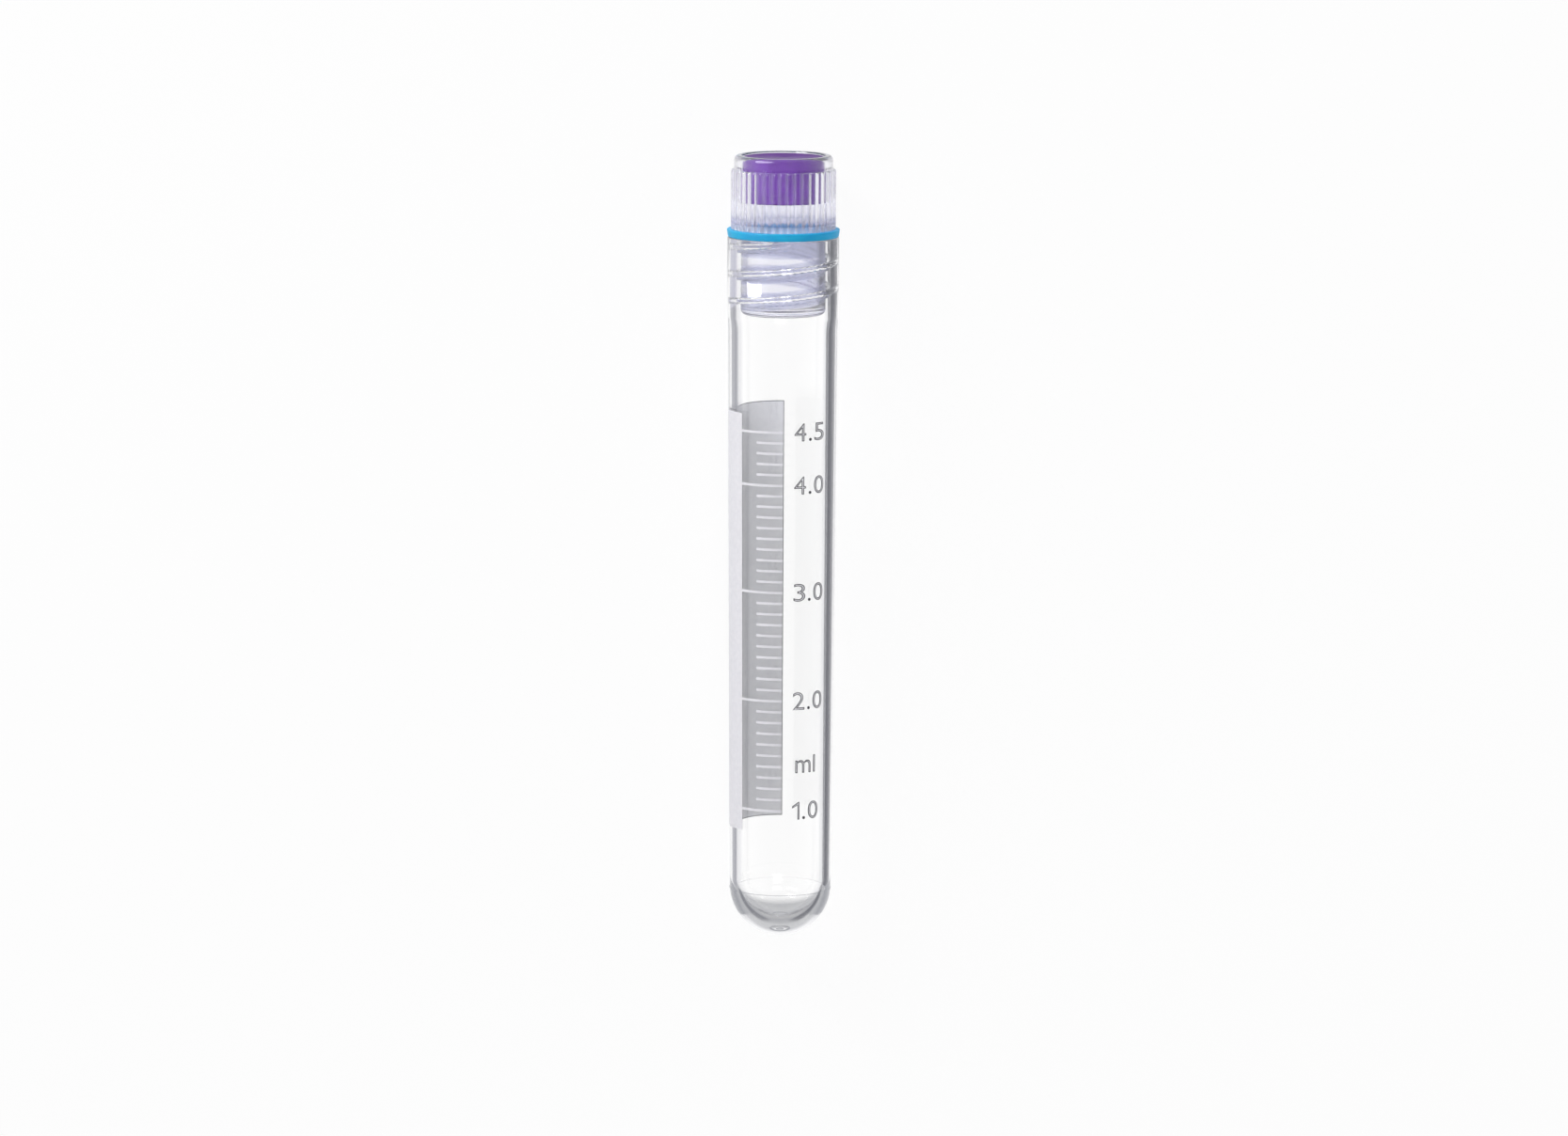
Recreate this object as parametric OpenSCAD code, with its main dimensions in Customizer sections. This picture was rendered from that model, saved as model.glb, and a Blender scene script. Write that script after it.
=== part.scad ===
// Cryogenic vial with an internal-thread screw cap, closed and lying on its side.
// Every piece is drawn upright, with its axis on Z, the tip of the round base at z = 0 and
// the graduated side facing -Y. lie_down() then lays it with the cap towards +Y.

/* [Tube] */
// Length of the tube from the tip of its round base to the rim
tube_len = 79.4; // [73:0.1:95]
// Outer diameter of the straight neck
neck_d = 12.5; // [12.4:0.1:14]
// Height of the straight neck
neck_h = 6.5; // [5:0.1:9]
// Height of the outer taper between the neck and the barrel
neck_taper_h = 3.9; // [2:0.1:6]
// Wall of the neck, behind the thread
neck_wall = 0.9; // [0.8:0.05:1]
// Depth of the neck's straight bore below the rim
neck_bore_h = 9.2; // [9:0.1:11]
// Height of the shoulder between the neck's bore and the barrel's
bore_shoulder_h = 1.2; // [0.5:0.1:2]
// Outer diameter of the barrel at its upper end
barrel_top_d = 12.22; // [11.8:0.02:12.4]
// Outer diameter of the barrel where it meets the round base
barrel_base_d = 11.38; // [11:0.02:11.8]
// Wall of the barrel at its upper end
wall_top = 0.9; // [0.7:0.05:1.1]
// Wall of the barrel where it meets the round base
wall_base = 0.7; // [0.6:0.05:1]
// Thickness of the floor at the tip of the base
floor_t = 0.8; // [0.6:0.05:1.4]
// Diameter of the moulding gate's recess in the base
gate_d = 2.4; // [1.6:0.1:3]
// Depth of the gate's recess
gate_depth = 0.12; // [0.06:0.02:0.2]
// Radius on the outer edge of the rim
rim_round = 0.15; // [0.05:0.05:0.3]

/* [Thread] */
// Pitch of the single-start right-hand thread
pitch = 3; // [2.4:0.1:4]
// Height of both thread ridges above their walls
thread_depth = 0.45; // [0.3:0.05:0.5]
// Width of both thread ridges at the root
thread_root_w = 0.65; // [0.5:0.05:0.8]
// Width of both thread ridges at the crest
thread_crest_w = 0.3; // [0.2:0.05:0.4]
// Angle over which a ridge rises out of its wall at each end
thread_lead = 40; // [20:5:80]
// Radial gap between each crest and the wall that faces it
thread_gap = 0.15; // [0.1:0.05:0.2]
// Gap along the axis between the two ridges
flank_gap = 0.1; // [0.08:0.02:0.2]
// Height that the neck's ridge climbs
neck_thread_h = 6.75; // [4:0.05:7.5]
// Depth below the rim at which the neck's ridge ends
neck_thread_inset = 0.45; // [0.4:0.05:0.8]
// Direction in which the neck's ridge ends
neck_thread_end = 269; // [0:1:359]
// Height that the plug's ridge climbs
plug_thread_h = 6.6; // [4:0.05:6.8]
// Height from the plug's lower end to the start of its ridge
plug_thread_inset = 1.25; // [1.2:0.05:1.4]

/* [Cap] */
// Diameter of the grip over its ribs
grip_d = 11.74; // [11.6:0.02:12.4]
// Height of the ribbed grip
grip_h = 6.7; // [6:0.1:9]
// Number of ribs on the grip
rib_count = 42; // [30:1:48]
// Height of the ribs
rib_depth = 0.22; // [0.1:0.02:0.26]
// Diameter of the plain crown above the grip
crown_d = 11.05; // [10.8:0.05:11.1]
// Height of the crown
crown_h = 1.55; // [1.2:0.05:2.5]
// Radius on the crown's outer edge
crown_round = 0.5; // [0.2:0.05:0.6]
// Diameter of the recess that holds the colour insert
recess_d = 9.4; // [9:0.05:9.6]
// Depth of the recess from the top of the crown
recess_h = 5.15; // [4:0.05:6]
// Length of the plug below the grip
plug_len = 9.55; // [9.3:0.05:9.8]
// Radius on the plug's lower edge
plug_round = 0.7; // [0.3:0.05:0.8]
// Thickness of the plug's floor
plug_floor = 0.9; // [0.6:0.05:1.2]
// Diameter of the hollow inside the plug
hollow_d = 8.2; // [7.6:0.1:8.4]
// Radius in the hollow's lower corner
hollow_round = 0.5; // [0.2:0.05:0.8]
// How much the collar inside the sealing ring is wider in radius than the plug
collar_step = 0.2; // [0.1:0.05:0.3]

/* [Sealing ring] */
// Thickness of the silicone ring
ring_t = 0.85; // [0.6:0.05:1.1]
// Outer diameter of the ring at its upper edge
ring_d = 12.65; // [12.5:0.05:14]
// How much narrower in radius the ring is at its lower edge
ring_draft = 0.13; // [0.05:0.01:0.2]
// Radial gap between the ring's hole and the collar
ring_gap = 0.05; // [0.03:0.01:0.1]

/* [Colour insert] */
// Radial gap between the insert and the recess
insert_gap = 0.05; // [0.03:0.01:0.1]
// Depth of the insert's top below the crown
insert_drop = 0.2; // [0.1:0.05:0.5]
// Thickness of the insert's top
insert_top_t = 0.8; // [0.5:0.1:1.2]
// Wall of the insert's skirt
insert_wall = 0.5; // [0.3:0.05:0.6]

/* [Print] */
// Thickness of the ink
ink_t = 0.04; // [0.03:0.01:0.08]
// Volume at the lowest graduation, in ml
grad_first = 1; // [0.5:0.1:2]
// Volume at the highest graduation, in ml
grad_last = 4.5; // [3:0.1:5]
// Volume between neighbouring graduations, in ml
grad_step = 0.1; // [0.1:0.1:0.5]
// Height of a graduation line
grad_line_h = 0.27; // [0.15:0.01:0.4]
// Angle that a short graduation line covers
grad_minor_span = 29; // [15:1:40]
// Angle by which the lines pass the middle of the front
grad_past = 1; // [0:1:20]
// Angle from the middle of the front to the writing patch's near edge, on the left
patch_edge = 48; // [42:1:80]
// Angle that the patch covers, round the left side to the back
patch_span = 134; // [90:1:150]
// How far the patch reaches above the highest graduation
patch_above = 1.95; // [0.5:0.05:4]
// How far the patch reaches below the lowest graduation
patch_below = 2.5; // [0.5:0.05:5]

/* [Hidden] */
$fn = 96;
front = 270;
eps = 0.01;
mm3_per_ml = 1000;

// Tube
neck_r = neck_d / 2;
neck_z = tube_len - neck_h;
neck_bore_r = neck_r - neck_wall;
neck_bore_z = tube_len - neck_bore_h;
barrel_top_r = barrel_top_d / 2;
barrel_top_z = neck_z - neck_taper_h;
barrel_base_r = barrel_base_d / 2;
bore_top_r = barrel_top_r - wall_top;
bore_top_z = neck_bore_z - bore_shoulder_h;
bore_base_r = barrel_base_r - wall_base;
bore_base_z = floor_t + bore_base_r;
lowest_z = barrel_base_r - sqrt(pow(barrel_base_r, 2) - pow(gate_d / 2, 2));

// Thread: the plug's ridge runs just below the neck's ridge, so the closed cap pulls up on it
neck_crest_r = neck_bore_r - thread_depth;
plug_r = neck_crest_r - thread_gap;
flank_lean = (thread_root_w - thread_crest_w) / 2 / thread_depth;
ridge_offset = thread_root_w - (thread_depth + thread_gap) * flank_lean + flank_gap;
neck_thread_top = tube_len - neck_thread_inset;
neck_thread_z = neck_thread_top - neck_thread_h;
ridge_sink = 0.2;
ridge_end_sink = 0.1;
sections_per_turn = 36;

// Directions of the seams. They put a flat facet under the lying tube and ring, not an edge.
tube_seam = 2.6;
ring_seam = 2.25;

// Cap, ring and insert
grip_z = tube_len + ring_t;
grip_r = grip_d / 2;
grip_top = grip_z + grip_h;
crown_r = crown_d / 2;
total_len = grip_top + crown_h;
plug_z = grip_z - plug_len;
plug_thread_z = plug_z + plug_thread_inset;
collar_r = plug_r + collar_step;
hollow_r = hollow_d / 2;
hollow_z = plug_z + plug_floor;
recess_r = recess_d / 2;
recess_z = total_len - recess_h;
ring_r = ring_d / 2;
ring_hole_r = collar_r + ring_gap;
insert_r = recess_r - insert_gap;
insert_top = total_len - insert_drop;
lying_r = max(ring_r, neck_r, grip_r);

// Outer radius of the barrel at a height
function barrel_r(z) =
    barrel_base_r
    + (barrel_top_r - barrel_base_r) * (z - barrel_base_r) / (barrel_top_z - barrel_base_r);

// Height of the liquid's surface for a volume: half a ball, then a slightly widening bore
bore_slope = (bore_top_r - bore_base_r) / (bore_top_z - bore_base_z);
base_volume = 2 / 3 * PI * pow(bore_base_r, 3);
function level(ml) =
    let (above = ml * mm3_per_ml - base_volume)
    bore_base_z
    + (pow(pow(bore_base_r, 3) + 3 * bore_slope * above / PI, 1 / 3) - bore_base_r) / bore_slope;

// Direction of each ridge at a height
function neck_thread_angle(z) = neck_thread_end + 360 * (z - neck_thread_top) / pitch;
function plug_thread_angle(z) = neck_thread_angle(z + ridge_offset);

// Lays an upright piece on its side: cap to +Y, front upwards
module lie_down()
    translate([0, -(lowest_z + total_len) / 2, lying_r])
        rotate([-90, 0, 0])
            children();

// What rounding takes off a corner that points up and to the right
module corner_waste(r)
    difference() {
        translate([-r, -r])
            square(r + eps);
        translate([-r, -r])
            circle(r);
    }

// Lower half of a ball's outline, right of the axis
module half_ball(r, centre_z)
    intersection() {
        translate([0, centre_z])
            circle(r);
        translate([0, centre_z - r])
            square(r);
    }

// Helical ridge on a wall. A negative rise points it inwards.
module helical_ridge(wall_r, rise, z, angle, climb) {
    turn = 360 * climb / pitch;
    n = ceil(turn / 360 * sections_per_turn);
    side = sign(rise);
    root_r = wall_r - side * ridge_sink;
    root_w = thread_root_w / 2 + ridge_sink * flank_lean;
    crest_w = thread_crest_w / 2;
    points = [
        for (i = [0:n])
            let (
                a = angle + turn * i / n,
                mid_z = z + climb * i / n,
                lead = min(1, turn * i / n / thread_lead, turn * (1 - i / n) / thread_lead),
                crest_r = wall_r + rise * lead - side * ridge_end_sink * (1 - lead)
            )
            for (p = [[root_r, -root_w], [crest_r, -crest_w], [crest_r, crest_w], [root_r, root_w]])
                [p.x * cos(a), p.x * sin(a), mid_z + p.y]
    ];
    sides = [
        for (i = [0:n - 1], k = [0:3])
            let (a = 4 * i + k, b = 4 * i + (k + 1) % 4)
            each [[a, a + 4, b], [b, a + 4, b + 4]]
    ];
    faces = concat([[0, 1, 2, 3]], sides, [[4 * n + 3, 4 * n + 2, 4 * n + 1, 4 * n]]);
    polyhedron(points, side < 0 ? faces : [for (f = faces) [for (i = [len(f) - 1:-1:0]) f[i]]]);
}

module tube_outline()
    difference() {
        union() {
            half_ball(barrel_base_r, barrel_base_r);
            polygon([[0, barrel_base_r], [barrel_base_r, barrel_base_r], [barrel_top_r, barrel_top_z],
                     [neck_r, neck_z], [neck_r, tube_len], [0, tube_len]]);
        }
        translate([neck_r, tube_len])
            corner_waste(rim_round);
        square([gate_d / 2, lowest_z + gate_depth]);
    }

module bore_outline()
    union() {
        half_ball(bore_base_r, bore_base_z);
        polygon([[0, bore_base_z], [bore_base_r, bore_base_z], [bore_top_r, bore_top_z],
                 [neck_bore_r, neck_bore_z], [neck_bore_r, tube_len + eps], [0, tube_len + eps]]);
    }

module vial_tube()
    color([0.9, 0.92, 0.95, 0.35])
    lie_down()
    union() {
        rotate([0, 0, tube_seam])
            rotate_extrude()
                difference() {
                    tube_outline();
                    bore_outline();
                }
        helical_ridge(neck_bore_r, -thread_depth, neck_thread_z, neck_thread_angle(neck_thread_z),
                      neck_thread_h);
    }

// Section of the grip: round-topped ribs, with a narrow flat valley after each
module rib_section() {
    rib_steps = 5;
    rib_share = 0.84;
    polygon([
        for (i = [0:rib_count - 1], k = [0:rib_steps])
            let (
                a = (i + rib_share * k / rib_steps) * 360 / rib_count,
                r = grip_r - rib_depth * (1 - sin(180 * k / rib_steps))
            )
            [r * cos(a), r * sin(a)]
    ]);
}

module grip()
    intersection() {
        translate([0, 0, grip_z])
            linear_extrude(grip_h)
                rib_section();
        rotate_extrude()
            polygon([[0, grip_z], [grip_r + eps, grip_z], [grip_r + eps, grip_top - rib_depth],
                     [grip_r - rib_depth, grip_top], [0, grip_top]]);
    }

// Crown, collar and plug, before the recess and the hollow are taken out
module cap_core_outline()
    difference() {
        union() {
            translate([0, grip_z])
                square([crown_r, total_len - grip_z]);
            translate([0, tube_len])
                square([collar_r, ring_t]);
            translate([0, plug_z])
                square([plug_r, plug_len]);
        }
        translate([crown_r, total_len])
            corner_waste(crown_round);
        translate([plug_r, plug_z])
            mirror([0, 1])
                corner_waste(plug_round);
    }

module cap_hollow_outline()
    difference() {
        union() {
            translate([0, recess_z])
                square([recess_r, recess_h + eps]);
            translate([0, hollow_z])
                square([hollow_r, recess_z - hollow_z + eps]);
        }
        translate([hollow_r, hollow_z])
            mirror([0, 1])
                corner_waste(hollow_round);
    }

module screw_cap()
    color([0.85, 0.85, 0.95, 0.5])
    lie_down()
    union() {
        difference() {
            union() {
                grip();
                rotate_extrude()
                    cap_core_outline();
            }
            rotate_extrude()
                cap_hollow_outline();
        }
        helical_ridge(plug_r, thread_depth, plug_thread_z, plug_thread_angle(plug_thread_z),
                      plug_thread_h);
    }

module sealing_ring()
    color("deepskyblue")
    lie_down()
    rotate([0, 0, ring_seam])
    rotate_extrude()
        polygon([[ring_hole_r, tube_len], [ring_r - ring_draft, tube_len], [ring_r, grip_z],
                 [ring_hole_r, grip_z]]);

module colour_insert()
    color("rebeccapurple")
    lie_down()
    rotate_extrude()
        difference() {
            translate([0, recess_z])
                square([insert_r, insert_top - recess_z]);
            translate([0, recess_z - eps])
                square([insert_r - insert_wall, insert_top - insert_top_t - recess_z + eps]);
        }

// Skin of ink on the barrel, from one height to another and from an angle round by a span
module ink(bottom_z, top_z, from, span)
    rotate_extrude(angle = span, start = from)
        polygon([[barrel_r(bottom_z), bottom_z], [barrel_r(bottom_z) + ink_t, bottom_z],
                 [barrel_r(top_z) + ink_t, top_z], [barrel_r(top_z), top_z]]);

module writing_patch()
    color("white")
    lie_down()
    ink(level(grad_first) - patch_below, level(grad_last) + patch_above,
        front - patch_edge - patch_span, patch_span);

module graduation_marks()
    color("white")
    lie_down()
    for (i = [0:round((grad_last - grad_first) / grad_step)]) {
        ml = grad_first + i * grad_step;
        major = abs(ml - round(ml)) < eps || abs(ml - grad_last) < eps;
        span = major ? patch_edge + grad_past : grad_minor_span;
        ink(level(ml) - grad_line_h / 2, level(ml) + grad_line_h / 2, front + grad_past - span, span);
    }

vial_tube();
screw_cap();
sealing_ring();
colour_insert();
writing_patch();
graduation_marks();
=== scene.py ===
import math

import bmesh
import bpy
from mathutils import Matrix, Vector


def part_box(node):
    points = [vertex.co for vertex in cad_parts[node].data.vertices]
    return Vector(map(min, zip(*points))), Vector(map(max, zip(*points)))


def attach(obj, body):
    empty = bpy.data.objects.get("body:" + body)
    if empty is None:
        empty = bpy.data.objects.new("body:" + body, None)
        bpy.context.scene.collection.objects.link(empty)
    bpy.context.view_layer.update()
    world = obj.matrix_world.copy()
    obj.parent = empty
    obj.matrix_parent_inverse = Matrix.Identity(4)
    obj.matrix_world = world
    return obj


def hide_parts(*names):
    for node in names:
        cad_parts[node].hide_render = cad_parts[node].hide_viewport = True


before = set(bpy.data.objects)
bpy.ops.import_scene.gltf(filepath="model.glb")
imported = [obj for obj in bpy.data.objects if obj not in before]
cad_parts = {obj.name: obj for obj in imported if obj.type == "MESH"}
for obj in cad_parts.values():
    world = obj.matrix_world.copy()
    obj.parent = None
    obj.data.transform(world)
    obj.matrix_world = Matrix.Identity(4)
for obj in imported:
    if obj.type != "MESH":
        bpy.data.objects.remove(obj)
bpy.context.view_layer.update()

print("frame loaded")

mm = 0.001
rimHeight = 79.4  # every piece is drawn upright in mm, tip of the round base at 0, front towards -Y
front = 270  # degrees round the axis, counted from +X
ringLow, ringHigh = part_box("sealing_ring")
tubeLow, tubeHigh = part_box("vial_tube")
axisHeight = (ringLow[2] + ringHigh[2]) / 2
layDown = (
    Matrix.Translation((0, tubeHigh[1] - rimHeight * mm, axisHeight))
    @ Matrix.Rotation(math.radians(-90), 4, "X")
    @ Matrix.Scale(mm, 4)
)

# camera, looking down on the lying vial
view = {
    "distance": 0.820, "tilt": 8.78, "roll": 0.29, "side": 0.00026, "aimY": -0.0024,
    "lens": 167.5, "sensor": 36, "nearest": 0.02, "farthest": 20,
}
cameraData = bpy.data.cameras.new("camera")
cameraData.lens = view["lens"]
cameraData.sensor_width = view["sensor"]
cameraData.clip_start = view["nearest"]
cameraData.clip_end = view["farthest"]
camera = bpy.data.objects.new("camera", cameraData)
bpy.context.scene.collection.objects.link(camera)
camera.matrix_world = (
    Matrix.Translation((view["side"], view["aimY"], axisHeight))
    @ Matrix.Rotation(-math.radians(view["tilt"]), 4, "X")
    @ Matrix.Rotation(math.radians(view["roll"]), 4, "Z")
    @ Matrix.Translation((0, 0, view["distance"]))
)
bpy.context.scene.camera = camera
bpy.context.scene.view_settings.view_transform = "Standard"
print("camera placed")


def linear(hexColour):
    # sRGB hex to linear RGBA
    channels = [int(hexColour[i : i + 2], 16) / 255 for i in (0, 2, 4)]
    return [c / 12.92 if c <= 0.04045 else ((c + 0.055) / 1.055) ** 2.4 for c in channels] + [1]


def newMaterial(name):
    material = bpy.data.materials.new(name)
    material.use_nodes = True
    material.node_tree.nodes.clear()
    return material


def addNode(material, kind, links=None, stops=(), **settings):
    # a link is a socket of another node or a plain number, and stops are the colours of a ramp;
    # settings name sockets with a leading "in_" and underscores for spaces, the rest are properties
    node = material.node_tree.nodes.new(kind)
    for key, value in settings.items():
        if key.startswith("in_"):
            node.inputs[key[3:].replace("_", " ")].default_value = value
        else:
            setattr(node, key, value)
    for socket, source in (links or {}).items():
        if isinstance(source, (int, float)):
            node.inputs[socket].default_value = source
        else:
            material.node_tree.links.new(source, node.inputs[socket])
    if stops:
        elements = node.color_ramp.elements
        while len(elements) < len(stops):
            elements.new(0.5)
        for element, (position, colour) in zip(elements, stops):
            element.position = position
            element.color = linear(colour)
    return node


def finishMaterial(material, shader):
    addNode(material, "ShaderNodeOutputMaterial", {"Surface": shader.outputs[0]})
    return material


def unevenness(material, size, detail, stretch=(1, 1, 1)):
    # soft blotches, each about size mm wide
    place = addNode(material, "ShaderNodeTexCoord").outputs["Object"]
    mapped = addNode(material, "ShaderNodeMapping", {"Vector": place}, in_Scale=stretch).outputs["Vector"]
    blotches = addNode(
        material, "ShaderNodeTexNoise", {"Vector": mapped}, in_Scale=1 / (size * mm), in_Detail=detail
    )
    return blotches.outputs["Fac"]


# clear polypropylene, polished steel mould: near water-clear; the greying where it is seen edge on is painted
# shade for the dark bands that refraction gives there
def makeClearPolypropylene():
    look = {
        "ior": 1.49, "roughness": 0.03, "wave": 6.0, "waveHeight": 0.01, "stretch": (1, 0.25, 1),
        "edge": [(0.0, "ffffff"), (0.45, "ffffff"), (0.60, "eeeef2"), (0.80, "f8f8fb")],
        "lampTint": [(0.0, "f4f4f6"), (0.4, "dcdde2"), (0.8, "9fa1a8")],
        "lost": "989aa0", "lostAfter": 3.5,
    }
    m = newMaterial("clearPolypropylene")
    facing = addNode(m, "ShaderNodeLayerWeight", in_Blend=0.5).outputs["Facing"]
    # painted shade: the wall's colour greys a little where it is seen edge on
    edge = addNode(m, "ShaderNodeValToRGB", {"Fac": facing}, look["edge"])
    flow = unevenness(m, look["wave"], 1, look["stretch"])
    waves = addNode(m, "ShaderNodeBump", {"Height": flow}, in_Distance=look["waveHeight"] * mm)
    body = addNode(
        m, "ShaderNodeBsdfPrincipled",
        {"Base Color": edge.outputs["Color"], "Normal": waves.outputs["Normal"]},
        in_Roughness=look["roughness"], in_IOR=look["ior"], in_Transmission_Weight=1.0,
    )
    lampTint = addNode(m, "ShaderNodeValToRGB", {"Fac": facing}, look["lampTint"])
    through = addNode(m, "ShaderNodeBsdfTransparent", {"Color": lampTint.outputs["Color"]})
    path = addNode(m, "ShaderNodeLightPath").outputs
    mixed = addNode(
        m, "ShaderNodeMixShader", {0: path["Is Shadow Ray"], 1: body.outputs[0], 2: through.outputs[0]}
    )
    # painted shade: light that goes round and round inside the wall is not followed further, and the wall
    # glows an even middle grey there instead
    lost = addNode(m, "ShaderNodeEmission", in_Color=linear(look["lost"]), in_Strength=1.0)
    caught = addNode(
        m, "ShaderNodeMath", {0: path["Glossy Depth"], 1: look["lostAfter"]}, operation="GREATER_THAN"
    )
    ended = addNode(
        m, "ShaderNodeMixShader", {0: caught.outputs[0], 1: mixed.outputs[0], 2: lost.outputs[0]}
    )
    return finishMaterial(m, ended)


# natural polypropylene, moulded thicker: lets light through, faintly milky and lavender; where the attribute
# below rises it turns milkier, and its darker grey is painted shade
def makeNaturalPolypropylene():
    look = {
        "ior": 1.49, "roughness": 0.09, "clear": 0.995, "milky": 0.35,
        "grain": 0.9, "grainHeight": 0.004, "stretch": (1, 0.35, 1), "lampTint": "e9e8f2",
        "tones": [(0.0, "fafafe"), (0.3, "dedeee"), (0.42, "b4b6cc"), (0.5, "b4b6cc"), (0.6, "dedeee")],
    }
    m = newMaterial("naturalPolypropylene")
    flow = unevenness(m, look["grain"], 2, look["stretch"])
    grain = addNode(m, "ShaderNodeBump", {"Height": flow}, in_Distance=look["grainHeight"] * mm)
    # attribute from 0 to 1: real milk on the skirt, partly painted light in the rib valleys, and painted
    # shade, the darker lavender grey, on the thread bands and the top of the plug
    hazeAndShade = addNode(m, "ShaderNodeAttribute", attribute_name="hazeAndShade").outputs["Fac"]
    tone = addNode(m, "ShaderNodeValToRGB", {"Fac": hazeAndShade}, look["tones"])
    clear = addNode(
        m, "ShaderNodeMapRange", {"Value": hazeAndShade}, in_To_Min=look["clear"], in_To_Max=look["milky"]
    )
    body = addNode(
        m, "ShaderNodeBsdfPrincipled",
        {"Base Color": tone.outputs["Color"], "Transmission Weight": clear.outputs["Result"],
         "Normal": grain.outputs["Normal"]},
        in_Roughness=look["roughness"], in_IOR=look["ior"],
    )
    through = addNode(m, "ShaderNodeBsdfTransparent", in_Color=linear(look["lampTint"]))
    path = addNode(m, "ShaderNodeLightPath").outputs
    mixed = addNode(
        m, "ShaderNodeMixShader", {0: path["Is Shadow Ray"], 1: body.outputs[0], 2: through.outputs[0]}
    )
    return finishMaterial(m, mixed)


# blue silicone, moulded: soft satin, a little light inside
def makeBlueSilicone():
    look = {
        "colour": "2cb6e4", "deep": "22a6de", "roughness": 0.45, "ior": 1.41, "gloss": 0.25,
        "cloud": 2.5, "fine": 0.12, "fineHeight": 0.004, "inside": 0.15, "insideDepth": 0.6,
    }
    m = newMaterial("blueSilicone")
    cloud = unevenness(m, look["cloud"], 2)
    tone = addNode(m, "ShaderNodeValToRGB", {"Fac": cloud}, [(0.35, look["deep"]), (0.65, look["colour"])])
    fine = unevenness(m, look["fine"], 2)
    skin = addNode(m, "ShaderNodeBump", {"Height": fine}, in_Distance=look["fineHeight"] * mm)
    body = addNode(
        m, "ShaderNodeBsdfPrincipled",
        {"Base Color": tone.outputs["Color"], "Normal": skin.outputs["Normal"]},
        in_Roughness=look["roughness"], in_IOR=look["ior"], in_Specular_IOR_Level=look["gloss"],
        in_Subsurface_Weight=look["inside"], in_Subsurface_Scale=look["insideDepth"] * mm,
    )
    return finishMaterial(m, body)


# purple polypropylene, moulded and pigmented: even colour, low gloss
def makePurplePolypropylene():
    look = {
        "colour": "5a2486", "deep": "53207d", "roughness": 0.45, "ior": 1.49, "gloss": 0.1,
        "cloud": 1.8, "fine": 0.15, "fineHeight": 0.004,
    }
    m = newMaterial("purplePolypropylene")
    cloud = unevenness(m, look["cloud"], 2)
    tone = addNode(m, "ShaderNodeValToRGB", {"Fac": cloud}, [(0.35, look["deep"]), (0.65, look["colour"])])
    fine = unevenness(m, look["fine"], 2)
    skin = addNode(m, "ShaderNodeBump", {"Height": fine}, in_Distance=look["fineHeight"] * mm)
    body = addNode(
        m, "ShaderNodeBsdfPrincipled",
        {"Base Color": tone.outputs["Color"], "Normal": skin.outputs["Normal"]},
        in_Roughness=look["roughness"], in_IOR=look["ior"], in_Specular_IOR_Level=look["gloss"],
    )
    return finishMaterial(m, body)


# screen ink: dull and very slightly grainy, the white one a touch lavender; the dark grey one is painted
# shade for the dark look of the print's edges, and the greyer white one is painted shade for the back of the
# print
ink = {"roughness": 0.62, "ior": 1.48, "fine": 0.1, "fineHeight": 0.005}


def makeInk(name, colour, deep, grain):
    m = newMaterial(name)
    cloud = unevenness(m, grain, 3)
    tone = addNode(m, "ShaderNodeValToRGB", {"Fac": cloud}, [(0.3, deep), (0.7, colour)])
    fine = unevenness(m, ink["fine"], 2)
    skin = addNode(m, "ShaderNodeBump", {"Height": fine}, in_Distance=ink["fineHeight"] * mm)
    body = addNode(
        m, "ShaderNodeBsdfPrincipled",
        {"Base Color": tone.outputs["Color"], "Normal": skin.outputs["Normal"]},
        in_Roughness=ink["roughness"], in_IOR=ink["ior"],
    )
    return finishMaterial(m, body)


clearPolypropylene = makeClearPolypropylene()
naturalPolypropylene = makeNaturalPolypropylene()
blueSilicone = makeBlueSilicone()
purplePolypropylene = makePurplePolypropylene()
whiteInk = makeInk("whiteScreenInk", "e8e7ec", "e1e0e6", 0.5)
# painted shade: a dark grey drawn round the white print where its edges look dark
inkEdgeShade = makeInk("paintedInkEdgeShade", "46474c", "3c3d42", 0.3)
# painted shade: a greyer copy of the white ink for the back of the print, which gets less light
inkBackShade = makeInk("whiteInkShadedBack", "d8d8da", "d1d1d4", 0.5)
print("materials made")

close = 1e-3  # mm, two sizes this near count as the same
weld = 1e-5  # mm, corners nearer than this are merged


def drawOutline(start, moves):
    # half section in mm: a pair draws a line to (radius, height), four numbers turn about
    # (radius, height) by degrees, anticlockwise in the section, in that many steps
    bm = bmesh.new()
    tip = bmesh.ops.create_vert(bm, co=(start[0], 0, start[1]))["vert"][0]
    for move in moves:
        if len(move) == 2:
            grown = bmesh.ops.extrude_vert_indiv(bm, verts=[tip])
            tip = grown["verts"][0]
            tip.co = (move[0], 0, move[1])
        else:
            centreR, centreZ, turn, steps = move
            turned = bmesh.ops.spin(
                bm, geom=[tip], cent=(centreR, 0, centreZ), axis=(0, 1, 0),
                angle=math.radians(-turn), steps=steps, use_duplicate=False,
            )
            tip = [item for item in turned["geom_last"] if isinstance(item, bmesh.types.BMVert)][0]
    return bm


def addRows(bm, low, high, radius, spacing):
    # even rows on the straight wall that runs from low to high
    wall = [
        e for e in bm.edges
        if abs(min(v.co.z for v in e.verts) - low) < close
        and abs(max(v.co.z for v in e.verts) - high) < close
        and all(abs(v.co.x - radius) < close for v in e.verts)
    ]
    bmesh.ops.subdivide_edges(bm, edges=wall, cuts=round((high - low) / spacing) - 1)


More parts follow.
